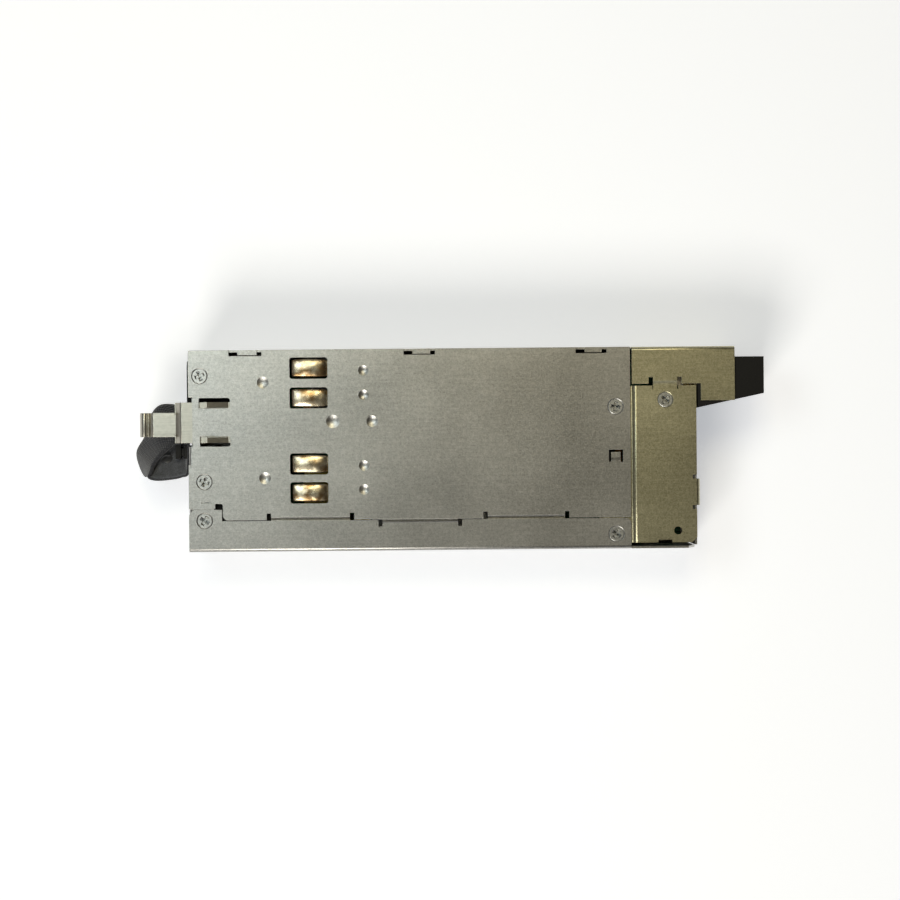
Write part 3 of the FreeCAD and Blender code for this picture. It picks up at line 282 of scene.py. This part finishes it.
class Shaping(Graph):
    """Geometry Nodes tree with named sizes, run on one object and then baked."""

    def __init__(self, name, sizes):
        tree = bpy.data.node_groups.new(name, "GeometryNodeTree")
        super().__init__(tree)
        tree.interface.new_socket("Geometry", in_out="INPUT", socket_type="NodeSocketGeometry")
        for size, (kind, value) in sizes.items():
            socket = tree.interface.new_socket(size, in_out="INPUT", socket_type="NodeSocket" + kind)
            socket.default_value = value
        tree.interface.new_socket("Geometry", in_out="OUTPUT", socket_type="NodeSocketGeometry")
        self.given = self.add("NodeGroupInput")

    def size(self, name):
        return Signal(self, self.given.outputs[name])

    def vector(self, x, y, z):
        return self.signal("ShaderNodeCombineXYZ", None, {0: x, 1: y, 2: z})

    def moved(self, shape, place):
        return self.signal("GeometryNodeTransform", None, {"Geometry": shape, "Translation": place})

    def joined(self, *shapes):
        made = self.add("GeometryNodeJoinGeometry")
        for shape in shapes:
            self.tree.links.new(shape.socket, made.inputs[0])
        return Signal(self, made.outputs[0])

    def close(self, shape, material):
        real = self.signal("GeometryNodeRealizeInstances", None, {"Geometry": shape})
        painted = self.signal("GeometryNodeSetMaterial", None, {"Geometry": real, "Material": material})
        output = self.add("NodeGroupOutput")
        self.tree.links.new(painted.socket, output.inputs[0])


def shaped(name, mesh, shaping, sizes, body):
    """Run a tree on a mesh and keep the result as a plain piece on a body."""
    seed_item = bpy.data.objects.new(name + "_places", mesh)
    scene.collection.objects.link(seed_item)
    modifier = seed_item.modifiers.new("shape", "NODES")
    modifier.node_group = shaping.tree
    for socket in shaping.tree.interface.items_tree:
        if socket.in_out == "INPUT" and socket.name in sizes:
            modifier[socket.identifier] = sizes[socket.name]
    ready = seed_item.evaluated_get(bpy.context.evaluated_depsgraph_get())
    piece = bpy.data.objects.new(name, bpy.data.meshes.new_from_object(ready))
    scene.collection.objects.link(piece)
    seed_item.modifiers.remove(modifier)
    bpy.data.objects.remove(seed_item)
    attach(piece, body)
    return piece


def points_mesh(name, places):
    mesh = bpy.data.meshes.new(name)
    mesh.from_pydata([tuple(place) for place in places], [], [])
    return mesh


def screw_shaping(material):
    """Countersunk head with a tapered cross recess and a shank, on every point."""
    sizes = {"Head Radius": ("Float", 0.00276), "Shank Radius": ("Float", 0.00147),
             "Head Height": ("Float", 0.0008), "Length": ("Float", 0.0026),
             "Recess Radius": ("Float", 0.0027), "Recess Depth": ("Float", 0.0016),
             "Recess Share": ("Float", 0.36), "Seed": ("Int", 3)}
    rim_share, face_share = 0.12, 0.93
    recess_taper, overcut = 0.45, 1.1
    graph = Shaping("countersunk_screw", sizes)
    radius, shank = graph.size("Head Radius"), graph.size("Shank Radius")
    height, length = graph.size("Head Height"), graph.size("Length")
    rim = height * rim_share
    dome = graph.signal("GeometryNodeMeshCone", None, {
        "Vertices": 48, "Radius Top": radius * face_share, "Radius Bottom": radius, "Depth": rim})
    cone = graph.signal("GeometryNodeMeshCone", None, {
        "Vertices": 48, "Radius Top": radius, "Radius Bottom": shank, "Depth": height - rim})
    stem = graph.signal("GeometryNodeMeshCylinder", None, {
        "Vertices": 32, "Radius": shank, "Depth": length - height})
    dome = graph.moved(dome, graph.vector(0.0, 0.0, rim * -1.0))
    cone = graph.moved(cone, graph.vector(0.0, 0.0, height * -1.0))
    stem = graph.moved(stem, graph.vector(0.0, 0.0, (length + height) * -0.5))
    solid = graph.signal("GeometryNodeMeshBoolean", {"operation": "UNION"}, {"Mesh 2": dome})
    for more in (cone, stem):
        graph.tree.links.new(more.socket, solid.socket.node.inputs["Mesh 2"])
    wing = graph.signal("GeometryNodeMeshCone", None, {
        "Vertices": 4, "Radius Top": graph.size("Recess Radius"),
        "Radius Bottom": graph.size("Recess Radius") * recess_taper,
        "Depth": graph.size("Recess Depth") * overcut})
    wing = graph.signal("GeometryNodeTransform", None, {"Geometry": wing, "Rotation": (0, 0, math.pi / 4)})
    wing = graph.moved(wing, graph.vector(0.0, 0.0, graph.size("Recess Depth") * -1.0))
    cut = graph.signal("GeometryNodeMeshBoolean", {"operation": "DIFFERENCE"}, {"Mesh 1": solid})
    share = graph.size("Recess Share")
    for scale in (graph.vector(1.0, share, 1.0), graph.vector(share, 1.0, 1.0)):
        bar = graph.signal("GeometryNodeTransform", None, {"Geometry": wing, "Scale": scale})
        graph.tree.links.new(bar.socket, cut.socket.node.inputs["Mesh 2"])
    turn = graph.signal("FunctionNodeRandomValue", None, {2: 0.0, 3: math.pi, "Seed": graph.size("Seed")}, 1)
    placed = graph.signal("GeometryNodeInstanceOnPoints", None, {
        "Points": graph.given.outputs["Geometry"], "Instance": cut, "Rotation": graph.vector(0.0, 0.0, turn)})
    graph.close(placed, material)
    return graph


rear_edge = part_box("base_tray")[0].x
seam_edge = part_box("top_cover")[1].x
near_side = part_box("base_tray")[0].y
far_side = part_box("top_cover")[1].y
screw_places = [
    (rear_edge + 0.0042, 0.0274), (rear_edge + 0.0057, -0.0112), (rear_edge + 0.0057, near_side + 0.0114),
    (seam_edge - 0.0054, 0.0150), (seam_edge - 0.0054, near_side + 0.0054),
    (seam_edge + 0.0128, far_side - 0.01935)]
head_sink = 0.08 * millimetre
screw_points = points_mesh("screw_places", [(x, y, cover_face - head_sink) for x, y in screw_places])
cross_screw = screw_shaping(plated_screw_steel())
screws = shaped("casing_screws_cross", screw_points, cross_screw, {"Seed": 11}, "casing")
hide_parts("casing_screws")


# ---- Release latch ----
# One leaf of spring steel, plated: its root is spot welded under the cover and
# the moving part carries two catch teeth, a tongue and a curled thumb pad.
def latch_spring_steel():
    graph = Finish("latch_spring_steel", Metallic=1.0)
    brushed = graph.noise(1.0, 3.0, graph.stretched((120.0, 2600.0, 2600.0)))
    grain = graph.noise(700.0, 2.0)
    share = 0.55 * brushed + 0.4 * grain
    graph.feed("Base Color", graph.between(share, (0.30, 0.285, 0.24), (0.64, 0.61, 0.53)))
    graph.feed("Roughness", 0.26 + 0.16 * brushed)
    graph.relief(brushed, 0.00002)
    return graph.material


finish_nodes(latch_spring_steel(), thin_edge, "latch_root", "release_latch")


# ---- Ground springs ----
# Thin nickel plated spring fingers, domed so that they press on the bay wall
# through the cover's windows.  Each pair stands on one root strip.
def nickel_plate():
    graph = Finish("nickel_plate", Metallic=0.95)
    # Painted reflection: the dark brown to gold mottling stands in for the room mirrored in the domed nickel,
    # not for stains.
    painted_reflection = graph.noise(260.0, 2.0)
    ripple = graph.noise(300.0, 1.0)
    share = graph.signal("ShaderNodeMapRange", None, {0: painted_reflection, 1: 0.38, 2: 0.60})
    graph.feed("Base Color", graph.between(share, (0.32, 0.21, 0.10), (0.74, 0.65, 0.47)))
    graph.feed("Roughness", 0.20 + 0.14 * ripple)
    graph.relief(ripple, 0.0002)
    return graph.material


neck_share = 0.84                   # root strip to finger, across


def spring_finger(low, high, window_middle, window_length, width):
    """Strip along X: flat root, domed middle in the window, tip bent down."""
    sheet = 0.8 * millimetre
    under = cover_face - sheet
    lie, crest_gap = 0.15 * millimetre, 0.1 * millimetre
    tip_fall = 2.2 * millimetre
    crown_fall = 0.55 * millimetre
    roundness = 0.55
    half = window_length / 2
    stations = 40
    across = 10
    mesh = bmesh.new()
    grid = []
    for i in range(stations + 1):
        x = high.x + (low.x - high.x) * i / stations
        shift = (x - window_middle) / half
        dome = max(0.0, 1 - shift * shift) ** roundness if abs(shift) < 1 else 0.0
        z = under - lie + dome * (high.z - under - crest_gap)
        if shift < -1:
            z -= (-shift - 1) * tip_fall
        row = []
        for j in range(across + 1):
            side = 2 * j / across - 1
            pinch = 1 - (1 - neck_share) * (1 - dome) if abs(shift) < 1 else neck_share
            crown = dome * crown_fall * side * side
            row.append(mesh.verts.new((x, side * width / 2 * pinch, z - crown)))
        grid.append(row)
    for i in range(stations):
        for j in range(across):
            face = mesh.faces.new((grid[i][j], grid[i][j + 1], grid[i + 1][j + 1], grid[i + 1][j]))
            face.smooth = True
    made = bpy.data.meshes.new("spring_finger")
    mesh.to_mesh(made)
    mesh.free()
    return made


def row_shaping(material):
    """Copies of the given mesh in a row, and a root strip that joins them."""
    sizes = {"Count": ("Int", 2), "First": ("Vector", (0, 0, 0)), "Step": ("Vector", (0, 0, 0)),
             "Root Size": ("Vector", (0, 0, 0)), "Root Place": ("Vector", (0, 0, 0))}
    graph = Shaping("row_on_a_root", sizes)
    line = graph.signal("GeometryNodeMeshLine", None, {
        "Count": graph.size("Count"), "Start Location": graph.size("First"), "Offset": graph.size("Step")})
    copies = graph.signal("GeometryNodeInstanceOnPoints", None, {
        "Points": line, "Instance": graph.given.outputs["Geometry"]})
    root = graph.signal("GeometryNodeMeshCube", None, {"Size": graph.size("Root Size")})
    graph.close(graph.joined(copies, graph.moved(root, graph.size("Root Place"))), material)
    return graph


window_middle = rear_edge + 0.0439
window_length = 13.8 * millimetre
strip_thickness = 0.3 * millimetre
nickel = nickel_plate()
fingers_in_a_row = row_shaping(nickel)
for name in ("upper_ground_spring", "lower_ground_spring"):
    low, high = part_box(name)
    width = 6.6 * millimetre
    pitch = high.y - low.y - width
    finger = spring_finger(low, high, window_middle, window_length, width)
    root_length = 9.5 * millimetre
    root_z = cover_face - 0.95 * millimetre
    sizes = {"Count": 2, "First": (0.0, low.y + width / 2, 0.0), "Step": (0.0, pitch, 0.0),
             "Root Size": (root_length, pitch + width * neck_share, strip_thickness),
             "Root Place": (high.x - root_length / 2, (low.y + high.y) / 2, root_z)}
    pair = shaped(name + "_domed", finger, fingers_in_a_row, sizes, "casing")
    thick = pair.modifiers.new("thickness", "SOLIDIFY")
    thick.thickness = strip_thickness
    thick.offset = -1
    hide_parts(name)


# ---- Cord strap ----
# A loop of black hook and loop webbing, about 17 mm wide, for the mains cord.
# A moulded anchor holds it to the rear panel, and it leans over the inlet.
def woven_webbing():
    graph = Finish("woven_webbing")
    along = graph.add("ShaderNodeSeparateXYZ", None, {0: graph.add("ShaderNodeUVMap").outputs[0]})
    run, width = Signal(graph, along.outputs[0]), Signal(graph, along.outputs[1])
    threads, diagonals = 5200.0, 3700.0
    weave = ((run * threads).sine() * (width * threads).sine()) * 0.5 + 0.5
    ribs = ((run + width) * diagonals).sine() * 0.5 + 0.5
    fuzz = graph.noise(2600.0, 3.0)
    height = 0.8 * weave + 0.2 * ribs + 0.3 * fuzz
    share = 1.4 * height - 0.5
    graph.feed("Base Color", graph.between(share, (0.004, 0.004, 0.006), (0.048, 0.050, 0.060)))
    graph.feed("Roughness", 0.62 + 0.25 * fuzz)
    graph.relief(height, 0.00022)
    graph.shader.inputs["Sheen Weight"].default_value = 0.25
    return graph.material


def smooth_loop(corners, count):
    """Points on a smooth closed line through the corners, evenly spaced in turn."""
    points = []
    total = len(corners)
    for k in range(total * count):
        i, t = divmod(k, count)
        t /= count
        p0, p1, p2, p3 = (Vector(corners[(i + j - 1) % total]) for j in range(4))
        a = 2 * p1
        b = p2 - p0
        c = 2 * p0 - 5 * p1 + 4 * p2 - p3
        d = 3 * p1 - p0 - 3 * p2 + p3
        points.append(0.5 * (a + b * t + c * t * t + d * t * t * t))
    return points


strap_low, strap_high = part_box("cord_strap")
upper_corners = [
    (-92.9, -7.4), (-95.8, -9.6), (-101.0, -10.5), (-104.8, -10.7), (-107.4, -10.2), (-108.3, -9.2),
    (-107.4, -7.2), (-106.3, -4.4), (-103.9, -1.3), (-99.6, 2.4), (-95.8, 6.4), (-92.9, 5.4)]
lower_corners = [(-95.2, 6.4), (-97.4, 5.2), (-101.4, 3.4), (-105.6, -0.6), (-108.6, -5.6), (-110.6, -9.4),
                 (-112.9, -5.6), (-113.9, 0.2), (-110.6, 6.4), (-108.0, 14.6), (-103.4, 17.8), (-95.2, 15.6)]


def webbing_loop():
    """Loop between its upper and lower edge, with its length and width as UV."""
    per_corner = 10
    rows = 14
    upper = smooth_loop([(x, y) for x, y in upper_corners], per_corner)
    lower = smooth_loop([(x, y) for x, y in lower_corners], per_corner)
    mesh = bmesh.new()
    uv = mesh.loops.layers.uv.new("UVMap")
    lengths = [0.0]
    for a, b in zip(upper, upper[1:] + upper[:1]):
        lengths.append(lengths[-1] + (b - a).length * millimetre)
    columns = []
    for high_point, low_point in zip(upper, lower):
        column = []
        for j in range(rows + 1):
            share = j / rows
            flat = high_point.lerp(low_point, share)
            z = strap_high.z + (strap_low.z - strap_high.z) * share
            column.append(mesh.verts.new((flat.x * millimetre, flat.y * millimetre, z)))
        columns.append(column)
    total = len(columns)
    width = 17.3 * millimetre
    for i in range(total):
        after = (i + 1) % total
        for j in range(rows):
            corners = (columns[i][j], columns[after][j], columns[after][j + 1], columns[i][j + 1])
            face = mesh.faces.new(corners)
            face.smooth = True
            places = ((lengths[i], j), (lengths[i + 1], j), (lengths[i + 1], j + 1), (lengths[i], j + 1))
            for loop, (run, row) in zip(face.loops, places):
                loop[uv].uv = (run, row / rows * width)
    bmesh.ops.recalc_face_normals(mesh, faces=mesh.faces)
    made = bpy.data.meshes.new("cord_strap_woven")
    mesh.to_mesh(made)
    mesh.free()
    return made


def brushed_pile():
    """Soft side of the webbing, which the hooks grip."""
    graph = Finish("brushed_pile", Roughness=0.9)
    fuzz = graph.noise(1500.0, 4.0, None, 0.7)
    tufts = graph.noise(420.0, 2.0)
    share = 0.9 * fuzz + 0.5 * tufts - 0.25
    graph.feed("Base Color", graph.between(share, (0.018, 0.019, 0.022), (0.22, 0.23, 0.26)))
    graph.relief(fuzz, 0.0004)
    graph.shader.inputs["Sheen Weight"].default_value = 0.3
    return graph.material


webbing = woven_webbing()
strap = bpy.data.objects.new("cord_strap_woven", webbing_loop())
strap.data.materials.append(webbing)
strap.data.materials.append(brushed_pile())
scene.collection.objects.link(strap)
strap_thick = strap.modifiers.new("thickness", "SOLIDIFY")
strap_thick.thickness = 1.1 * millimetre
strap_thick.offset = -1
strap_thick.material_offset = 1
strap_thick.material_offset_rim = 0
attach(strap, "casing")
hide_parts("cord_strap")


def rivet_mesh(place, slant, radius):
    """Low round head that lies on the slanted face of the webbing."""
    flatness = 0.34
    mesh = bmesh.new()
    bmesh.ops.create_uvsphere(mesh, u_segments=32, v_segments=16, radius=radius)
    for point in mesh.verts:
        point.co.z *= flatness
    for face in mesh.faces:
        face.smooth = True
    tilt = Vector((0, 0, 1)).rotation_difference(slant).to_matrix()
    for point in mesh.verts:
        point.co = tilt @ point.co + place
    made = bpy.data.meshes.new("cord_strap_rivet")
    mesh.to_mesh(made)
    mesh.free()
    return made


rivet_place = Vector((-0.1016, -0.0028, 0.0276))
rivet_radius = 2.1 * millimetre
webbing_slant = Vector((0, 0.70, 0.71))
rivet = bpy.data.objects.new("cord_strap_rivet", rivet_mesh(rivet_place, webbing_slant, rivet_radius))
scene.collection.objects.link(rivet)
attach(rivet, "casing")
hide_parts("cord_strap")


# ---- Moulded parts ----
# Anchor, inlet, fan and connector are injection moulded in black plastic with
# a fine spark eroded texture.  Films, cases and cores inside share its grain.
def moulded_plastic(name, colour, light, rough, shine=0.5):
    graph = Finish(name)
    graph.shader.inputs["Specular IOR Level"].default_value = shine
    grain = graph.noise(2400.0, 2.0)
    handling = graph.noise(60.0, 3.0)
    share = 0.6 * grain + 0.4 * handling
    graph.feed("Base Color", graph.between(share, colour, light))
    graph.feed("Roughness", rough + 0.14 * grain)
    graph.relief(grain, 0.00003)
    return graph.material


black_plastic = moulded_plastic("black_plastic", (0.004, 0.004, 0.004), (0.016, 0.015, 0.013), 0.46, 0.18)
rivet_plastic = moulded_plastic("rivet_plastic", (0.022, 0.022, 0.024), (0.085, 0.085, 0.09), 0.30)
rivet.data.materials.append(rivet_plastic)
finish_nodes(black_plastic, rounded_edge, "strap_anchor", "inlet_housing", "connector_housing")
finish_nodes(black_plastic, fine_edge, "fan_frame")
finish_nodes(moulded_plastic("soft_gasket", (0.02, 0.02, 0.02), (0.06, 0.06, 0.06), 0.8), 0, "fan_gasket")
finish_nodes(moulded_plastic("clear_plastic", (0.62, 0.70, 0.66), (0.85, 0.90, 0.88), 0.12), 0.1 * millimetre,
             "status_light_pipe")
white_plastic = moulded_plastic("white_plastic", (0.70, 0.69, 0.65), (0.85, 0.84, 0.80), 0.4)
finish_nodes(white_plastic, fine_edge, "board_standoffs", "input_fuse")
finish_nodes(moulded_plastic("polyester_film", (0.52, 0.55, 0.56), (0.70, 0.73, 0.74), 0.2), 0,
             "insulating_film")
black_epoxy = moulded_plastic("black_epoxy", (0.012, 0.012, 0.013), (0.05, 0.05, 0.05), 0.5)
finish_nodes(black_epoxy, rounded_edge, "bridge_rectifier", "primary_transistors", "output_rectifiers")
finish_nodes(moulded_plastic("film_capacitor_case", (0.46, 0.36, 0.05), (0.70, 0.58, 0.12), 0.3),
             0.2 * millimetre, "filter_capacitors")
ferrite = moulded_plastic("sintered_ferrite", (0.035, 0.036, 0.04), (0.12, 0.12, 0.13), 0.55)
finish_nodes(ferrite, 0.3 * millimetre, "input_choke_core", "boost_inductor_core", "main_transformer_core",
             "output_inductor")


# ---- Contacts, heatsinks and sleeves ----
# Plated contacts, tinned bars, extruded heatsinks, the fan's steel parts and
# the capacitors' sleeves, all drawn along their length.
def plain_metal(name, dark, light, low, high):
    graph = Finish(name, Metallic=1.0)
    drawn = graph.noise(1.0, 2.0, graph.stretched((200.0, 1800.0, 1800.0)))
    grain = graph.noise(900.0, 2.0)
    graph.feed("Base Color", graph.between(0.5 * drawn + 0.5 * grain, dark, light))
    graph.feed("Roughness", low + (high - low) * grain)
    graph.relief(drawn, 0.00002)
    return graph.material


plated_contact = plain_metal("plated_contact", (0.55, 0.42, 0.20), (0.90, 0.75, 0.42), 0.18, 0.34)
finish_nodes(plated_contact, 0, "inlet_pins", "power_contacts", "signal_pins")
finish_nodes(plain_metal("tinned_copper", (0.36, 0.33, 0.28), (0.66, 0.62, 0.55), 0.25, 0.4),
             fine_edge, "bus_bars")
finish_nodes(plain_metal("extruded_aluminium", (0.50, 0.51, 0.52), (0.78, 0.79, 0.80), 0.28, 0.42),
             0.1 * millimetre, "primary_heatsink", "secondary_heatsink")
dark_steel = plain_metal("laminated_steel", (0.22, 0.22, 0.23), (0.42, 0.42, 0.43), 0.3, 0.45)
finish_nodes(dark_steel, 0, "fan_stator", "fan_shaft", "fan_bearing")
finish_nodes(plain_metal("capacitor_sleeve", (0.02, 0.03, 0.08), (0.06, 0.07, 0.14), 0.25, 0.4), 0,
             "bulk_capacitors", "output_capacitors")


# ---- Windings and boards ----
# Enamelled copper wound in close turns, and green lacquered circuit boards.
def wound_wire():
    graph = Finish("enamelled_wire", Metallic=0.85)
    height = graph.add("ShaderNodeSeparateXYZ", None, {0: graph.place}).outputs[2]
    wires = 7800.0
    turns = (Signal(graph, height) * wires).sine() * 0.5 + 0.5
    grain = graph.noise(400.0, 2.0)
    share = 0.5 * turns + 0.4 * grain
    graph.feed("Base Color", graph.between(share, (0.20, 0.07, 0.02), (0.66, 0.30, 0.12)))
    graph.feed("Roughness", 0.28 + 0.2 * grain)
    graph.relief(turns, 0.0003)
    return graph.material


finish_nodes(wound_wire(), 0.4 * millimetre, "input_choke_coil", "boost_inductor_coil",
             "main_transformer_coil")


def lacquered_board():
    graph = Finish("lacquered_board")
    weave = graph.noise(900.0, 2.0)
    traces = graph.signal("ShaderNodeTexBrick", None, {
        "Vector": graph.place, "Scale": 160.0, "Mortar Size": 0.06, "Color1": (0, 0, 0, 1),
        "Color2": (0.2, 0.2, 0.2, 1), "Mortar": (1, 1, 1, 1)})
    share = 0.35 * weave + 0.4 * traces
    graph.feed("Base Color", graph.between(share, (0.012, 0.07, 0.03), (0.05, 0.26, 0.12)))
    graph.feed("Roughness", 0.25 + 0.2 * weave)
    graph.relief(traces, 0.00004)
    return graph.material


finish_nodes(lacquered_board(), 0, "main_board", "control_board")


# ---- Fan wheel ----
# Five cambered blades, twisted from root to tip, on a moulded hub cup that
# turns round the stator.
def fan_blade():
    """One blade, standing out along Z from the fan's axis."""
    low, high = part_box("fan_rotor")
    hub = 8.3 * millimetre
    tip = (high.z - low.z) / 2 - 0.1 * millimetre
    root_pitch, twist = 54, 22
    root_chord, chord_growth = 12.8 * millimetre, 2.2 * millimetre
    camber_height = 1.2 * millimetre
    chord_steps, span_steps = 10, 12
    mesh = bmesh.new()
    grid = []
    for i in range(span_steps + 1):
        share = i / span_steps
        radius = hub + (tip - hub) * share
        pitch = math.radians(root_pitch - twist * share)
        chord = root_chord + chord_growth * share
        row = []
        for j in range(chord_steps + 1):
            along = (j / chord_steps - 0.5) * chord
            camber = camber_height * (1 - (2 * along / chord) ** 2)
            x = along * math.cos(pitch) - camber * math.sin(pitch)
            sideways = along * math.sin(pitch) + camber * math.cos(pitch)
            angle = sideways / radius
            row.append(mesh.verts.new((x, radius * math.sin(angle), radius * math.cos(angle))))
        grid.append(row)
    for i in range(span_steps):
        for j in range(chord_steps):
            face = mesh.faces.new((grid[i][j], grid[i][j + 1], grid[i + 1][j + 1], grid[i + 1][j]))
            face.smooth = True
    made = bpy.data.meshes.new("fan_blade")
    mesh.to_mesh(made)
    mesh.free()
    return made


def wheel_shaping(material):
    """Copies of the given blade round the X axis, and the hub cup they stand on."""
    sizes = {"Blades": ("Int", 5), "Centre": ("Vector", (0, 0, 0)), "Hub Radius": ("Float", 0.0086),
             "Hub Length": ("Float", 0.021)}
    graph = Shaping("bladed_wheel", sizes)
    line = graph.signal("GeometryNodeMeshLine", None, {"Count": graph.size("Blades"), "Offset": (0, 0, 0)})
    index = graph.signal("GeometryNodeInputIndex")
    turn = index * (2 * math.pi)
    share = graph.signal("ShaderNodeMath", {"operation": "DIVIDE"}, {0: turn, 1: graph.size("Blades")})
    blades = graph.signal("GeometryNodeInstanceOnPoints", None, {
        "Points": line, "Instance": graph.given.outputs["Geometry"],
        "Rotation": graph.vector(share, 0.0, 0.0)})
    hub = graph.signal("GeometryNodeMeshCylinder", None, {
        "Vertices": 64, "Side Segments": 1, "Radius": graph.size("Hub Radius"),
        "Depth": graph.size("Hub Length")})
    hub = graph.signal("GeometryNodeTransform", None, {"Geometry": hub, "Rotation": (0, math.pi / 2, 0)})
    graph.close(graph.moved(graph.joined(blades, hub), graph.size("Centre")), material)
    return graph


rotor_low, rotor_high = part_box("fan_rotor")
wheel_middle = (rotor_low + rotor_high) / 2
sizes = {"Blades": 5, "Centre": tuple(wheel_middle), "Hub Length": rotor_high.x - rotor_low.x}
wheel = shaped("fan_rotor_bladed", fan_blade(), wheel_shaping(black_plastic), sizes, "fan_wheel")
wheel_thick = wheel.modifiers.new("thickness", "SOLIDIFY")
wheel_thick.thickness = 0.7 * millimetre
wheel_thick.offset = 0
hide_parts("fan_rotor")
